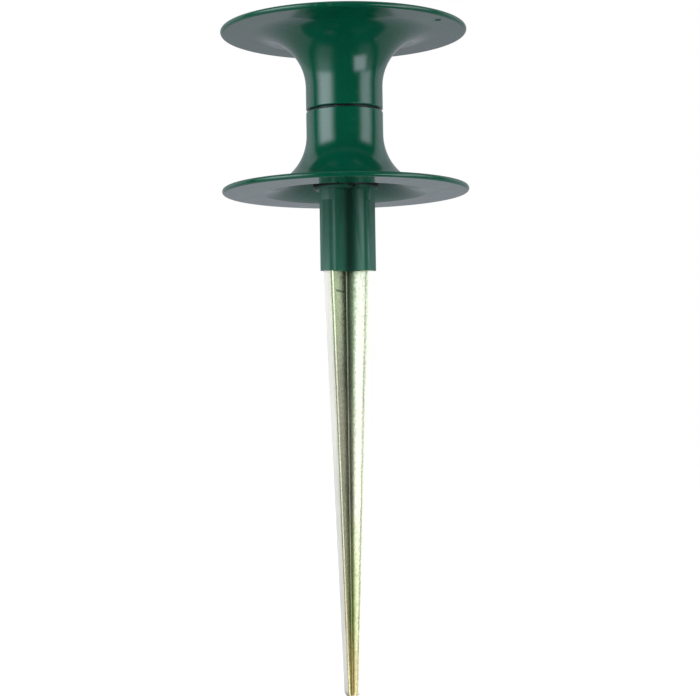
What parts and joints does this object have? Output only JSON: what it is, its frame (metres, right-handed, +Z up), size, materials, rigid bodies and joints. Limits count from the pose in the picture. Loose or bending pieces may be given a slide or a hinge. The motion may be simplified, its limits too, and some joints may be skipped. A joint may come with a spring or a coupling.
{
  "type": "hose guide stake",
  "caption": "Garden stake whose waisted, flanged roller turns freely on a tapered steel ground spike, to lead a hose round the corner of a bed.",
  "frame": {"origin": "on the roller axis at the soil line, which is the lower end of the socket", "axes": "+Z up along the roller axis, away from the tip of the spike; -Y is the side that the open V of the spike and socket faces; +X to the right of that side"},
  "size_m": [0.1, 0.1, 0.2692],
  "materials": {
    "green_plastic": "glossy dark green moulding",
    "zinc_steel": "bright yellow zinc plating",
    "black_plastic": "stamped black washer plastic",
    "bearing_plastic": "plain dark bearing plastic"
  },
  "bodies": {
    "stake": {"spike": "zinc_steel", "socket": "green_plastic", "tang_pins": "zinc_steel", "thrust_washer": "black_plastic", "waist_washer": "black_plastic", "retaining_washer": "zinc_steel", "retaining_screw": "zinc_steel"},
    "lower_wheel": {"lower_roller": "green_plastic", "lower_bush": "bearing_plastic"},
    "upper_wheel": {"upper_roller": "green_plastic", "upper_bush": "bearing_plastic", "top_cap": "green_plastic"}
  },
  "joints": [
    {"name": "lower_roller_spin", "type": "hinge", "parent": "stake", "child": "lower_wheel", "pos_m": [0, 0, 0.05], "axis": [0, 0, 1], "continuous": true},
    {"name": "upper_roller_spin", "type": "hinge", "parent": "stake", "child": "upper_wheel", "pos_m": [0, 0, 0.08], "axis": [0, 0, 1], "continuous": true}
  ]
}
